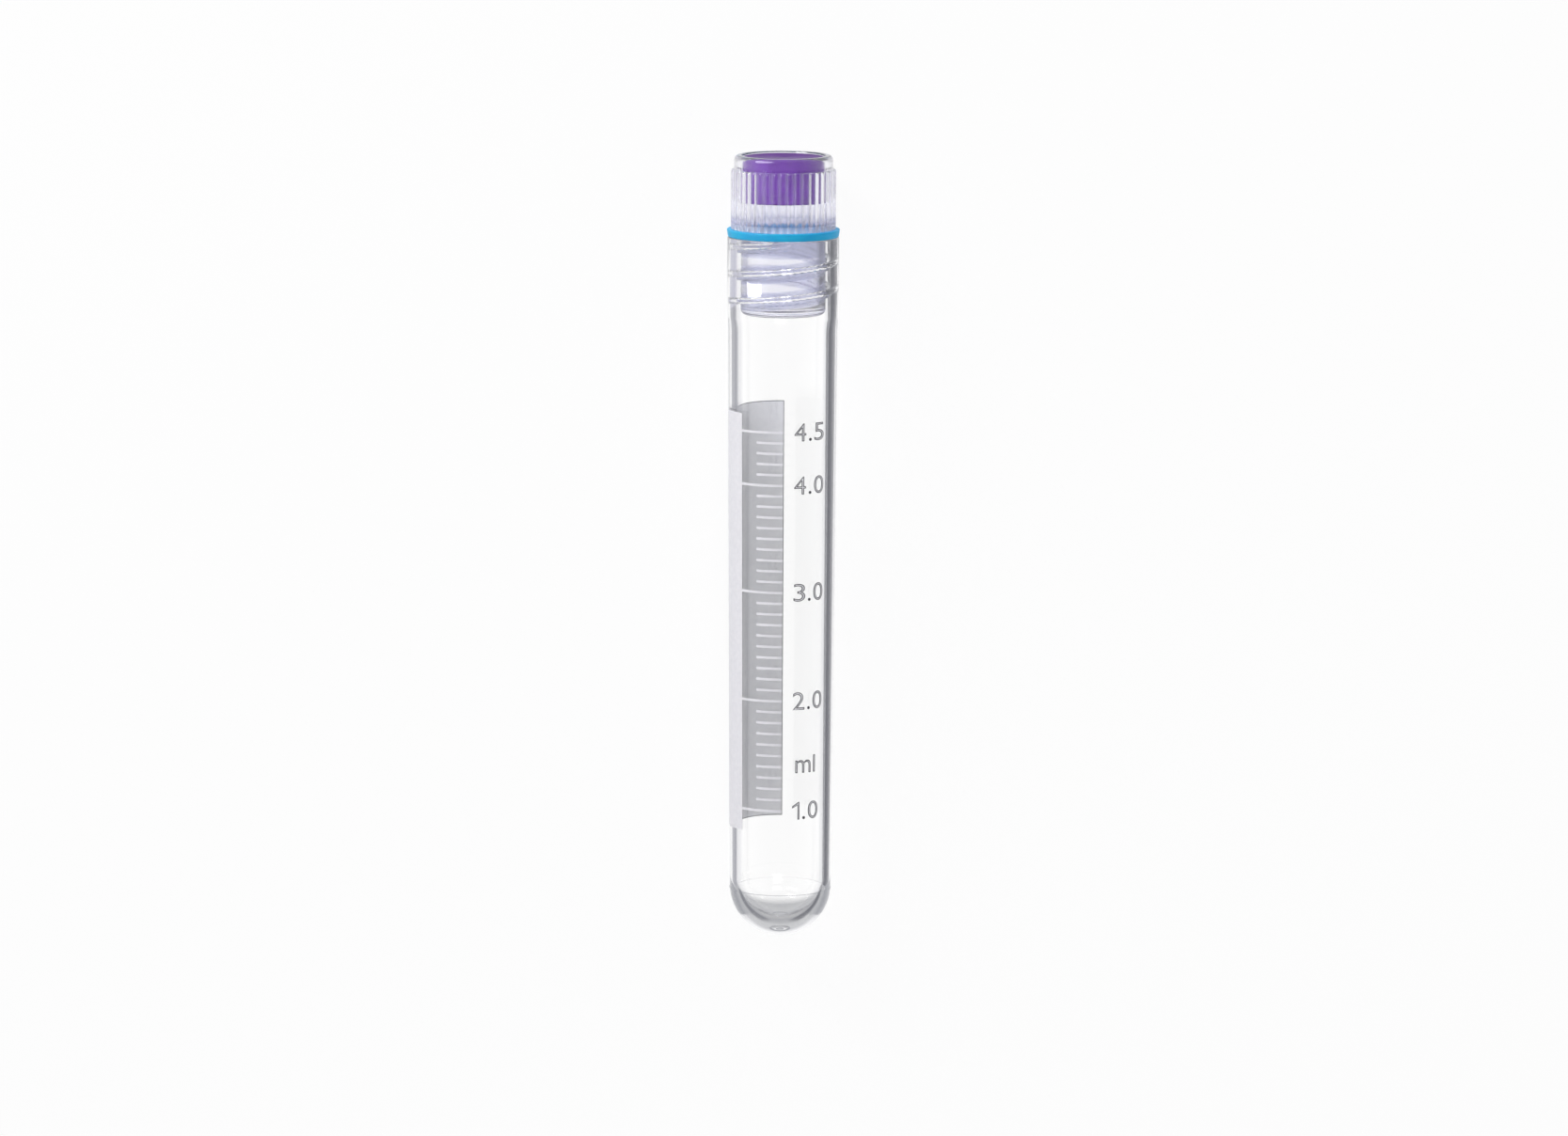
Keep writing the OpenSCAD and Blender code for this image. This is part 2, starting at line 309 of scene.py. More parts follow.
def spinRound(bm, steps):
    bmesh.ops.spin(
        bm, geom=bm.verts[:] + bm.edges[:], cent=(0, 0, 0), axis=(0, 0, 1),
        angle=math.radians(360), steps=steps, use_merge=True,
    )
    bmesh.ops.remove_doubles(bm, verts=bm.verts, dist=weld)
    bmesh.ops.recalc_face_normals(bm, faces=bm.faces)


def angleOf(vert):
    return math.degrees(math.atan2(vert.co.y, vert.co.x)) % 360


def setRadius(vert, radius):
    vert.co.xy = vert.co.xy.normalized() * radius


def finishPiece(name, bm, body, nodes, materials):
    crease = 32  # degrees, sharper edges stay sharp
    bmesh.ops.transform(bm, matrix=layDown, verts=bm.verts)
    mesh = bpy.data.meshes.new(name)
    bm.to_mesh(mesh)
    bm.free()
    mesh.shade_smooth()
    mesh.set_sharp_from_angle(angle=math.radians(crease))
    for material in materials:
        mesh.materials.append(material)
    piece = bpy.data.objects.new(name, mesh)
    bpy.context.scene.collection.objects.link(piece)
    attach(piece, body)
    if nodes:
        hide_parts(*nodes)
    print("made", name, len(mesh.polygons), "faces")


# thread, shared by the neck and the plug; lead is the run-in at each end in degrees
thread = {
    "pitch": 3, "depth": 0.45, "rootHalf": 0.325, "crestHalf": 0.15, "lead": 40,
    "neckTop": 78.95, "neckBottom": 72.2, "neckEnd": 269,
    "plugShift": 0.517, "plugBottom": 71.95, "plugTop": 78.55,
}


def ridgeRise(angle, height, top, low, high):
    # height of the nearest turn, and how far the ridge stands out of its wall, from 0 to its depth
    middle = top + (angle - thread["neckEnd"]) / 360 * thread["pitch"]
    middle += thread["pitch"] * round((height - middle) / thread["pitch"])
    if not low <= middle <= high:
        return middle, 0
    off = abs(height - middle)
    flank = min(1, max(0, (thread["rootHalf"] - off) / (thread["rootHalf"] - thread["crestHalf"])))
    flank = flank * flank * (3 - 2 * flank)
    perMm = 360 / thread["pitch"] / thread["lead"]
    lead = min(1, (middle - low) * perMm, (high - middle) * perMm)
    return middle, thread["depth"] * flank * lead


tube = {
    "neckR": 6.25, "neckZ": 72.9, "taperZ": 69.0, "barrelTopR": 6.11, "barrelBaseR": 5.69,
    "neckBoreR": 5.35, "neckBoreZ": 70.2, "boreTopR": 5.21, "boreTopZ": 69.0, "boreBaseR": 4.99,
    "floor": 1.6, "rimRound": 0.15, "mouthRound": 0.1, "gateR": 1.2, "gateZ": 0.128, "gateTop": 0.248,
    "nib": [(0, -0.07), (0.204, -0.065), (0.34, -0.03), (0.4, 0)],  # radius, and height from gateTop
    "gateEdge": [(-0.1, 0), (-0.03, -0.04)],  # from gateR and gateTop
    "partingZ": 5.42, "partingRows": (0.03, 0.07, 0.1), "parting": 0.055, "partingFoot": 0.002,
    "steps": 216, "baseSteps": 56, "boreSteps": 40, "rimSteps": 5, "mouthSteps": 4, "threadRow": 0.07,
}


def barrelRadius(height):
    share = (height - tube["barrelBaseR"]) / (tube["taperZ"] - tube["barrelBaseR"])
    return tube["barrelBaseR"] + (tube["barrelTopR"] - tube["barrelBaseR"]) * share


def makeTube():
    baseR, boreR, rim, mouth = tube["barrelBaseR"], tube["boreBaseR"], tube["rimRound"], tube["mouthRound"]
    below = math.degrees(math.asin((baseR - tube["partingZ"]) / baseR))
    fromPole = math.degrees(math.asin(tube["gateR"] / baseR))
    partR = baseR * math.cos(math.radians(below))
    nib = [(radius, tube["gateTop"] + height) for radius, height in tube["nib"]]
    gateEdge = [(tube["gateR"] + out, tube["gateTop"] + height) for out, height in tube["gateEdge"]]
    partingLow, partingHigh, partingEnd = [tube["partingZ"] + row for row in tube["partingRows"]]
    bm = drawOutline(nib[0], nib[1:] + gateEdge + [
        (tube["gateR"], tube["gateZ"]),
        (0, baseR, 90 - below - fromPole, tube["baseSteps"]),
        (partR + tube["parting"], partingLow),
        (partR + tube["parting"], partingHigh),
        (partR + tube["partingFoot"], partingEnd),
        (baseR, baseR),
        (tube["barrelTopR"], tube["taperZ"]),
        (tube["neckR"], tube["neckZ"]),
        (tube["neckR"], rimHeight - rim),
        (tube["neckR"] - rim, rimHeight - rim, 90, tube["rimSteps"]),
        (tube["neckBoreR"] + mouth, rimHeight),
        (tube["neckBoreR"] + mouth, rimHeight - mouth, 90, tube["mouthSteps"]),
        (tube["neckBoreR"], tube["neckBoreZ"]),
        (tube["boreTopR"], tube["boreTopZ"]),
        (boreR, tube["floor"] + boreR),
        (0, tube["floor"] + boreR, -90, tube["boreSteps"]),
    ])
    addRows(bm, tube["neckBoreZ"], rimHeight - mouth, tube["neckBoreR"], tube["threadRow"])
    spinRound(bm, tube["steps"])
    for v in bm.verts:
        inThread = tube["neckBoreZ"] < v.co.z < rimHeight - mouth
        if inThread and abs(v.co.xy.length - tube["neckBoreR"]) < close:
            rise = ridgeRise(
                angleOf(v), v.co.z, thread["neckTop"], thread["neckBottom"], thread["neckTop"]
            )[1]
            if rise:
                setRadius(v, tube["neckBoreR"] - rise)
    finishPiece("tubeShell", bm, "vial", ["vial_tube"], [clearPolypropylene])


cap = {
    "plugR": 4.75, "plugZ": 70.70, "plugRound": 0.7, "collarR": 4.95,
    "gripZ": 80.25, "gripR": 5.87, "gripTop": 86.95, "gripRound": 0.1,
    "shoulder": [(0, -0.28), (-0.02, -0.18), (-0.08, -0.09), (-0.16, -0.025)],  # from gripR and gripTop
    "ribs": 42, "ribDepth": 0.22, "ribShare": 0.84, "crownR": 5.525, "crownRound": 0.5, "top": 88.5,
    "recessR": 4.7, "recessZ": 83.35, "lip": 0.08, "hollowR": 4.1, "hollowZ": 71.6, "hollowRound": 0.5,
    "stepsPerRib": 9, "plugSteps": 10, "crownSteps": 12, "hollowSteps": 8, "edgeSteps": 4,
    "threadRow": 0.07, "gripRow": 0.3,
}
milkAndShade = {"valley": 0.28, "skirt": 1.0, "skirtHeight": 1.5, "thread": 0.42, "threadBand": 1.1,
        "plugShade": 77.2, "soft": 0.15}  # how milky the cap is, from 0 to 1, and where; the thread bands and the plug above plugShade are painted shade, the rib valleys partly painted light


def ribRadius(angle):
    # round-topped ribs with a narrow flat valley after each
    phase = angle / 360 * cap["ribs"] % 1 / cap["ribShare"]
    top = math.sin(math.pi * phase) if phase < 1 else 0
    return cap["gripR"] - cap["ribDepth"] * (1 - top)


def makeCap():
    soft, inner, crown = cap["plugRound"], cap["hollowRound"], cap["crownRound"]
    lip, edge = cap["lip"], cap["gripRound"]
    shoulder = [(cap["gripR"] + out, cap["gripTop"] + height) for out, height in cap["shoulder"]]
    bm = drawOutline((0, cap["plugZ"]), [
        (cap["plugR"] - soft, cap["plugZ"]),
        (cap["plugR"] - soft, cap["plugZ"] + soft, 90, cap["plugSteps"]),
        (cap["plugR"], rimHeight),
        (cap["collarR"], rimHeight),
        (cap["collarR"], cap["gripZ"]),
        (cap["gripR"] - edge, cap["gripZ"]),
        (cap["gripR"] - edge, cap["gripZ"] + edge, 90, cap["edgeSteps"]),
        *shoulder,
        (cap["gripR"] - cap["ribDepth"], cap["gripTop"]),
        (cap["crownR"], cap["gripTop"]),
        (cap["crownR"], cap["top"] - crown),
        (cap["crownR"] - crown, cap["top"] - crown, 90, cap["crownSteps"]),
        (cap["recessR"] + lip, cap["top"]),
        (cap["recessR"] + lip, cap["top"] - lip, 90, cap["edgeSteps"]),
        (cap["recessR"], cap["recessZ"]),
        (cap["hollowR"], cap["recessZ"]),
        (cap["hollowR"], cap["hollowZ"] + inner),
        (cap["hollowR"] - inner, cap["hollowZ"] + inner, -90, cap["hollowSteps"]),
        (0, cap["hollowZ"]),
    ])
    addRows(bm, cap["plugZ"] + soft, rimHeight, cap["plugR"], cap["threadRow"])
    addRows(bm, cap["gripZ"] + edge, shoulder[0][1], cap["gripR"], cap["gripRow"])
    spinRound(bm, cap["ribs"] * cap["stepsPerRib"])
    hazeAndShade = bm.verts.layers.float.new("hazeAndShade")
    for v in bm.verts:
        radius = v.co.xy.length
        if cap["gripZ"] - close < v.co.z < cap["gripTop"] - close and radius > cap["crownR"]:
            setRadius(v, min(radius, ribRadius(angleOf(v))))
            # rib valleys: partly real milk, partly painted light, milkier stripes that stand in for light the
            # ribs bend
            valley = (cap["gripR"] - ribRadius(angleOf(v))) / cap["ribDepth"]
            skirt = max(0, 1 - (v.co.z - cap["gripZ"]) / milkAndShade["skirtHeight"])
            v[hazeAndShade] = max(milkAndShade["valley"] * valley**2, milkAndShade["skirt"] * skirt)
        elif cap["plugZ"] + soft < v.co.z < rimHeight - close and abs(radius - cap["plugR"]) < close:
            middle, rise = ridgeRise(angleOf(v), v.co.z, thread["neckTop"] - thread["plugShift"],
                                     thread["plugBottom"], thread["plugTop"])
            # painted shade: the thread bands and the top of the plug take the darker lavender grey
            away = abs(v.co.z - middle - thread["plugShift"] / 2)
            near = max(milkAndShade["threadBand"] - away, v.co.z - milkAndShade["plugShade"])
            v[hazeAndShade] = milkAndShade["thread"] * min(1, max(0, near / milkAndShade["soft"]))
            if rise:
                setRadius(v, cap["plugR"] + rise)
    finishPiece("capShell", bm, "cap", ["screw_cap"], [naturalPolypropylene])


ring = {"holeR": 5.0, "lowR": 6.195, "highR": 6.325, "low": 79.4, "high": 80.25, "round": 0.1,
        "roundSteps": 4, "steps": 256}


def makeRing():
    bm = drawOutline((ring["holeR"], ring["low"]), [
        (ring["lowR"], ring["low"]), (ring["highR"], ring["high"]), (ring["holeR"], ring["high"]),
        (ring["holeR"], ring["low"]),
    ])
    bmesh.ops.remove_doubles(bm, verts=bm.verts, dist=weld)
    spinRound(bm, ring["steps"])
    middleR = (ring["holeR"] + ring["lowR"]) / 2
    outer = [
        e for e in bm.edges
        if abs(e.verts[0].co.z - e.verts[1].co.z) < close and min(v.co.xy.length for v in e.verts) > middleR
    ]
    bmesh.ops.bevel(
        bm, geom=outer, offset=ring["round"], affect="EDGES", segments=ring["roundSteps"], profile=0.5,
        material=-1,
    )
    finishPiece("ringSeal", bm, "ring", ["sealing_ring"], [blueSilicone])


insert = {
    "r": 4.65, "low": 83.35, "high": 88.3, "topT": 0.8, "wall": 0.5, "edge": 0.22, "fillet": 0.2,
    "chamfer": 0.1, "dish": [(3.6, 0), (3.5, -0.04), (0.6, -0.04), (0.55, -0.06), (0, -0.06)],
    "edgeSteps": 6, "filletSteps": 5, "steps": 192,
}


def makeInsert():
    innerR = insert["r"] - insert["wall"]
    under = insert["high"] - insert["topT"]
    edge, fillet, chamfer = insert["edge"], insert["fillet"], insert["chamfer"]
    bm = drawOutline((0, under), [
        (innerR - fillet, under),
        (innerR - fillet, under - fillet, -90, insert["filletSteps"]),
        (innerR, insert["low"]),
        (insert["r"] - chamfer, insert["low"]),
        (insert["r"], insert["low"] + chamfer),
        (insert["r"], insert["high"] - edge),
        (insert["r"] - edge, insert["high"] - edge, 90, insert["edgeSteps"]),
        *[(radius, insert["high"] + height) for radius, height in insert["dish"]],
    ])
    spinRound(bm, insert["steps"])
    finishPiece("colourDisc", bm, "cap", ["colour_insert"], [purplePolypropylene])


# print on the barrel: first, last and gradStep in ml, spans and edges in degrees, the rest in mm
printing = {
    "inkT": 0.028, "lift": 0.008, "first": 1.0, "last": 4.5, "gradStep": 0.1, "scaleFloor": 0.8,
    "lineH": 0.27, "minorSpan": 29, "past": 1, "majorSteps": 44, "minorSteps": 28,
    "patchEdge": 48, "patchSpan": 134, "patchAbove": 1.95, "patchBelow": 2.5, "patchSteps": 120, "rimW": 0.09,
}


def lineZ(ml):
    # height of a printed line for a volume, which fills half a ball and then a slightly widening bore
    baseR, baseZ = tube["boreBaseR"], printing["scaleFloor"] + tube["boreBaseR"]
    slope = (tube["boreTopR"] - baseR) / (tube["boreTopZ"] - baseZ)
    above = ml * 1000 - 2 / 3 * math.pi * baseR**3
    return baseZ + ((baseR**3 + 3 * slope * above / math.pi) ** (1 / 3) - baseR) / slope


def inkStrip(bm, low, high, start, span, steps):
    # one skin of faces on the barrel, from start round by span degrees
    lift = printing["lift"]
    ends = [bmesh.ops.create_vert(bm, co=(barrelRadius(z) + lift, 0, z))["vert"][0] for z in (low, high)]
    edge = bm.edges.new(ends)
    bmesh.ops.rotate(bm, verts=ends, cent=(0, 0, 0), matrix=Matrix.Rotation(math.radians(start), 3, "Z"))
    bmesh.ops.spin(
        bm, geom=ends + [edge], cent=(0, 0, 0), axis=(0, 0, 1), angle=math.radians(span), steps=steps,
    )


def thicken(bm):
    # walls go outwards from the skin
    for face in bm.faces:
        centre = face.calc_center_median()
        if face.normal.dot(Vector((centre.x, centre.y, 0))) > 0:
            face.normal_flip()
    bmesh.ops.solidify(bm, geom=bm.faces[:], thickness=printing["inkT"])
    bmesh.ops.recalc_face_normals(bm, faces=bm.faces)


def growOut(bm):
    # walls go straight out from the axis, which keeps the thin strokes of a letter free of spikes
    grown = bmesh.ops.extrude_face_region(bm, geom=bm.faces[:], use_keep_orig=True)["geom"]
    for v in grown:
        if isinstance(v, bmesh.types.BMVert):
            setRadius(v, v.co.xy.length + printing["inkT"])
    bmesh.ops.recalc_face_normals(bm, faces=bm.faces)


def makePatch():
    bm = bmesh.new()
    low = lineZ(printing["first"]) - printing["patchBelow"]
    high = lineZ(printing["last"]) + printing["patchAbove"]
    start = front - printing["patchEdge"] - printing["patchSpan"]
    inkStrip(bm, low, high, start, printing["patchSpan"], printing["patchSteps"])
    bm.normal_update()
    # a thin rim of painted shade round the patch, for the dark look of the print's edge
    rim = bmesh.ops.inset_region(
        bm, faces=bm.faces[:], thickness=printing["rimW"], use_even_offset=True, use_boundary=True
    )
    for face in rim["faces"]:
        face.material_index = 1
    thicken(bm)
    # the inner faces of the white print take the greyer copy: painted shade
    for face in bm.faces:
        centre = face.calc_center_median()
        inside = face.normal.dot(Vector((centre.x, centre.y, 0)).normalized()) < -0.5
        face.material_index = 2 if inside and face.material_index == 0 else face.material_index * inside
    inks = [whiteInk, inkEdgeShade, inkBackShade]
    finishPiece("writingPatch", bm, "vial", ["writing_patch"], inks)


def makeLines():
    bm = bmesh.new()
    count = round((printing["last"] - printing["first"]) / printing["gradStep"])
    half = printing["lineH"] / 2
    for i in range(count + 1):
        ml = printing["first"] + i * printing["gradStep"]
        major = abs(ml - round(ml)) < printing["gradStep"] / 10 or i == count
        span = printing["patchEdge"] + printing["past"] if major else printing["minorSpan"]
        steps = printing["majorSteps"] if major else printing["minorSteps"]
        inkStrip(bm, lineZ(ml) - half, lineZ(ml) + half, front + printing["past"] - span, span, steps)
    bm.normal_update()
    thicken(bm)
    finishPiece("scaleLines", bm, "vial", ["graduation_marks"], [whiteInk])


# figures beside the lines, in mm; unit gives each letter's place, width and height
numerals = {
    "height": 2.0, "digit": 1.38, "one": 0.86, "dot": 0.34, "gap": 0.36, "start": 13.0,
    "core": 0.03, "oneCore": 0.085, "corner": 0.6, "step": 0.012, "cut": 0.2, "resolution": 5,
    "oneShape": [(0.31, 0), (0.42, 0), (0.42, 1), (0.35, 1), (0, 0.76), (0, 0.65), (0.31, 0.81)],
    "marks": ["4.5", "4.0", "3.0", "2.0", "1.0"],
    "unit": [("m", 0, 1.9, 1.45), ("l", 2.25, 0.26, 1.95)], "unitZ": 20.5, "unitStart": 16.4,
}


def glyphMesh(letter, thinner=0.0):
    # flat outline of one letter as faces
    curve = bpy.data.curves.new("glyph", "FONT")
    curve.body = letter
    curve.resolution_u = numerals["resolution"]
    curve.offset = -thinner
    holder = bpy.data.objects.new("glyph", curve)
    bpy.context.scene.collection.objects.link(holder)
    bpy.context.view_layer.update()
    flat = bpy.data.meshes.new_from_object(holder.evaluated_get(bpy.context.evaluated_depsgraph_get()))
    bpy.data.objects.remove(holder)
    bpy.data.curves.remove(curve)
    bm = bmesh.new()
    bm.from_mesh(flat)
    bpy.data.meshes.remove(flat)
    bmesh.ops.remove_doubles(bm, verts=bm.verts, dist=weld)
    return bm


def figureOne():
    # upright stroke with a slanting flag, one unit high
    shape = numerals["oneShape"]
    bm = drawOutline(shape[0], shape[1:] + shape[:1])
    bmesh.ops.remove_doubles(bm, verts=bm.verts, dist=weld)
    bmesh.ops.triangle_fill(bm, use_beauty=True, edges=bm.edges[:])
    bmesh.ops.rotate(bm, verts=bm.verts, cent=(0, 0, 0), matrix=Matrix.Rotation(math.radians(-90), 3, "X"))
    return bm


def slimOne(bm, amount):
    # moves the outline of the figure one inwards
    shifts = {}
    for v in bm.verts:
        sides = []
        for edge in v.link_edges:
            if edge.is_boundary:
                along = (edge.verts[1].co - edge.verts[0].co).normalized()
                side = along.cross(Vector((0, 0, 1)))
                inside = edge.link_faces[0].calc_center_median() - edge.verts[0].co
                sides.append(side if side.dot(inside) > 0 else -side)
        middle = sum(sides, Vector()).normalized()
        shifts[v] = middle * (amount / max(numerals["corner"], middle.dot(sides[0])))
    for v, shift in shifts.items():
        v.co += shift


def placeGlyph(target, letter, layer, across, middle, width, height, start):
    # the dark layer is the whole letter, painted shade for the dark look of the print's edges, and the white
    # layer is a thin core that lies on it
    bm = figureOne() if letter == "1" else glyphMesh(letter)
    xs = [v.co.x for v in bm.verts]
    ys = [v.co.y for v in bm.verts]
    left, right, bottom, top = min(xs), max(xs), min(ys), max(ys)
    if layer == "white" and letter != "1":
        bm.free()
        bm = glyphMesh(letter, numerals["core"])
    for v in bm.verts:
        v.co.x = (v.co.x - left) / (right - left) * width
        v.co.y = (v.co.y - bottom) / (top - bottom) * height
    if layer == "white" and letter == "1":
        slimOne(bm, numerals["oneCore"])
    cutAt = numerals["cut"]
    while cutAt < width:
        bmesh.ops.bisect_plane(
            bm, geom=bm.verts[:] + bm.edges[:] + bm.faces[:], plane_co=(cutAt, 0, 0), plane_no=(1, 0, 0)
        )
        cutAt += numerals["cut"]
    bmesh.ops.triangulate(bm, faces=bm.faces)
    base = middle - numerals["height"] / 2
    lift = printing["lift"] + (numerals["step"] if layer == "white" else 0)
    for v in bm.verts:
        z = base + v.co.y
        angle = math.radians(front + start) + (across + v.co.x) / barrelRadius(middle)
        radius = barrelRadius(z) + lift
        v.co = (radius * math.cos(angle), radius * math.sin(angle), z)
    growOut(bm)
    for face in bm.faces:
        face.material_index = 0 if layer == "white" else 1
    piece = bpy.data.meshes.new("glyph")
    bm.to_mesh(piece)
    bm.free()
    target.from_mesh(piece)
    bpy.data.meshes.remove(piece)


def makeNumerals():
    bm = bmesh.new()
    wide = {"1": numerals["one"], ".": numerals["dot"]}
    for layer in ("dark", "white"):
        for words in numerals["marks"]:
            across, middle = 0, lineZ(float(words))
            for letter in words:
                width = wide.get(letter, numerals["digit"])
                height = numerals["dot"] if letter == "." else numerals["height"]
                if layer == "dark" or letter != ".":
                    placeGlyph(bm, letter, layer, across, middle, width, height, numerals["start"])
                across += width + numerals["gap"]
        for letter, across, width, height in numerals["unit"]:
            placeGlyph(bm, letter, layer, across, numerals["unitZ"], width, height, numerals["unitStart"])
    finishPiece("scaleNumerals", bm, "vial", [], [whiteInk, inkEdgeShade])


makeTube()
makeCap()
makeRing()
makeInsert()
makePatch()
makeLines()
makeNumerals()

# own and through are the paper's own share of light, for straight rays and for those through plastic
studio = {"floor": 3.0, "floorDrop": 0.05, "paper": "f4f4f5", "own": 0.93, "through": 0.98}
once = 0.5  # a ray depth above this has gone through plastic at least once


def makePaper():
    # white paper that gives most of its own light to straight rays, and a little more to those that
    # come through the clear wall, where gathered light makes up for the vial's own shadow
    m = newMaterial("whitePaper")
    lit = addNode(m, "ShaderNodeBsdfDiffuse", in_Color=linear(studio["paper"]))
    own = addNode(m, "ShaderNodeEmission", in_Color=linear("ffffff"), in_Strength=1.0)
    path = addNode(m, "ShaderNodeLightPath").outputs
    straight = addNode(
        m, "ShaderNodeMath", {0: path["Is Camera Ray"], 1: path["Is Glossy Ray"]},
        operation="ADD", use_clamp=True,
    )
    plain = addNode(m, "ShaderNodeMath", {0: straight.outputs[0], 1: studio["own"]}, operation="MULTIPLY")
    passed = addNode(m, "ShaderNodeMath", {0: path["Transmission Depth"], 1: once}, operation="GREATER_THAN")
    wall = addNode(m, "ShaderNodeMath", {0: passed.outputs[0], 1: studio["through"]}, operation="MULTIPLY")
    share = addNode(m, "ShaderNodeMath", {0: plain.outputs[0], 1: wall.outputs[0]}, operation="MAXIMUM")
    mixed = addNode(m, "ShaderNodeMixShader", {0: share.outputs[0], 1: lit.outputs[0], 2: own.outputs[0]})
    return finishMaterial(m, mixed)


def makeSheet(name, size, matrix, material):
    bm = bmesh.new()
    bmesh.ops.create_grid(bm, x_segments=1, y_segments=1, size=0.5)
    bmesh.ops.scale(bm, vec=(size[0], size[1], 1), verts=bm.verts)
    bmesh.ops.transform(bm, matrix=matrix, verts=bm.verts)
    mesh = bpy.data.meshes.new(name)
    bm.to_mesh(mesh)
    bm.free()
    mesh.materials.append(material)
    sheet = bpy.data.objects.new(name, mesh)
    bpy.context.scene.collection.objects.link(sheet)
    return sheet


def makeGlow(name, colour, strength):
    m = newMaterial(name)
    glow = addNode(m, "ShaderNodeEmission", in_Color=linear(colour), in_Strength=strength)
    return finishMaterial(m, glow)


floorPlace = Matrix.Translation((0, 0, -studio["floorDrop"] * mm))
makeSheet("floor", (studio["floor"], studio["floor"]), floorPlace, makePaper())

# painted shade: grey cards beside and below the vial, seen only through the clear wall, draw the grey bands
# that refraction shows in it;
# right, left and outer count from the axis, neckFrom is where the paler card beside the neck starts
cards = {
    "lift": 0.02, "right": 7.5, "left": -8.7, "outer": 30, "neckFrom": 26.4, "overTip": 1.0,
    "belowWide": 70, "belowLong": 80, "rightTone": "5c5d66", "leftTone": "a3a4ab", "neckTone": "c4c4d2",
}


def makeCard(name, left, right, low, high, material):
    # the mesh keeps the world's place, so the material can read it
    middle = Matrix.Translation(((left + right) / 2 * mm, (low + high) / 2 * mm, cards["lift"] * mm))
    card = makeSheet(name, ((right - left) * mm, (high - low) * mm), middle, material)
    card.visible_camera = False
    card.visible_diffuse = False
    card.visible_glossy = False
    card.visible_shadow = False


def makeBaseShade(tip):
    # painted shade seen through the base: grey that wraps round the round base, with a darker ring towards
    # both sides, all in mm: off is the distance from the axis, below counts from the tip, and reach bends the
    # ring round the base
    look = {
        "left": "74757d", "right": "5e5f68", "start": -0.9, "soft": 1.8, "wide": 8.4,
        "bendFrom": 7.0, "bend": 0.6, "side": (1.8, 4.0), "inner": (4.0, 6.0), "outer": (12.0, 10.0),
        "length": 20.0,
        "tones": [(0.25, "b6b7ba"), (0.4, "a8a9ad"), (0.65, "a8a9ad"), (0.8, "b8b8ba")],
    }
    m = newMaterial("baseShade")
    place = addNode(m, "ShaderNodeTexCoord").outputs["Object"]
    split = addNode(m, "ShaderNodeSeparateXYZ", {"Vector": place}).outputs
    across = addNode(m, "ShaderNodeMath", {0: split["X"], 1: 1 / mm}, operation="MULTIPLY").outputs[0]
    along = addNode(m, "ShaderNodeMath", {0: split["Y"], 1: 1 / mm}, operation="MULTIPLY").outputs[0]
    off = addNode(m, "ShaderNodeMath", {0: across}, operation="ABSOLUTE").outputs[0]
    below = addNode(m, "ShaderNodeMath", {0: tip, 1: along}, operation="SUBTRACT").outputs[0]
    past = addNode(m, "ShaderNodeMath", {0: off, 1: look["bendFrom"]}, operation="SUBTRACT").outputs[0]
    past = addNode(m, "ShaderNodeMath", {0: past, 1: 0.0}, operation="MAXIMUM").outputs[0]
    reach = addNode(
        m, "ShaderNodeMath", {0: past, 1: look["bend"], 2: below}, operation="MULTIPLY_ADD"
    ).outputs[0]
    shares = [
        addNode(m, "ShaderNodeMapRange", {0: value, 1: look[ends][0], 2: look[ends][1]}).outputs[0]
        for value, ends in ((off, "side"), (reach, "inner"), (reach, "outer"))
    ]
    band = addNode(m, "ShaderNodeMath", {0: shares[1], 1: shares[2]}, operation="MULTIPLY").outputs[0]
    dark = addNode(m, "ShaderNodeMath", {0: shares[0], 1: band}, operation="MULTIPLY").outputs[0]
    rightHalf = addNode(m, "ShaderNodeMath", {0: across, 1: 0.0}, operation="GREATER_THAN").outputs[0]
    halves = [(0.0, look["left"]), (1.0, look["right"])]
    sides = addNode(m, "ShaderNodeValToRGB", {"Fac": rightHalf}, halves)
    share = addNode(m, "ShaderNodeMath", {0: below, 1: look["length"]}, operation="DIVIDE").outputs[0]
    middle = addNode(m, "ShaderNodeValToRGB", {"Fac": share}, look["tones"])
    tone = addNode(
        m, "ShaderNodeMix", {0: dark, 6: middle.outputs["Color"], 7: sides.outputs["Color"]}, data_type="RGBA"
    )
    fade = addNode(m, "ShaderNodeMath", {0: below, 1: look["start"]}, operation="SUBTRACT").outputs[0]
    fade = addNode(
        m, "ShaderNodeMath", {0: fade, 1: look["soft"]}, operation="DIVIDE", use_clamp=True
    ).outputs[0]
    wide = addNode(m, "ShaderNodeMath", {0: off, 1: look["wide"]}, operation="GREATER_THAN").outputs[0]
    shown = addNode(m, "ShaderNodeMath", {0: fade, 1: wide}, operation="MAXIMUM").outputs[0]
    glow = addNode(m, "ShaderNodeEmission", {"Color": tone.outputs[2]}, in_Strength=1.0)
    clear = addNode(m, "ShaderNodeBsdfTransparent")
    mixed = addNode(m, "ShaderNodeMixShader", {0: shown, 1: clear.outputs[0], 2: glow.outputs[0]})
    return finishMaterial(m, mixed)


def placeCards():
    tip, neck = tubeLow[1] / mm, ringLow[1] / mm
    low, left, right, outer = tip + cards["overTip"], cards["left"], cards["right"], cards["outer"]
    wide = cards["belowWide"]
    makeCard("cardRight", right, outer, low, neck, makeGlow("cardRight", cards["rightTone"], 1.0))
    makeCard("cardLeft", -outer, left, low, cards["neckFrom"], makeGlow("cardLeft", cards["leftTone"], 1.0))
    makeCard("cardNeck", -outer, left, cards["neckFrom"], neck, makeGlow("cardNeck", cards["neckTone"], 1.0))
    makeCard("cardBelow", -wide, wide, tip - cards["belowLong"], low, makeBaseShade(tip))


placeCards()

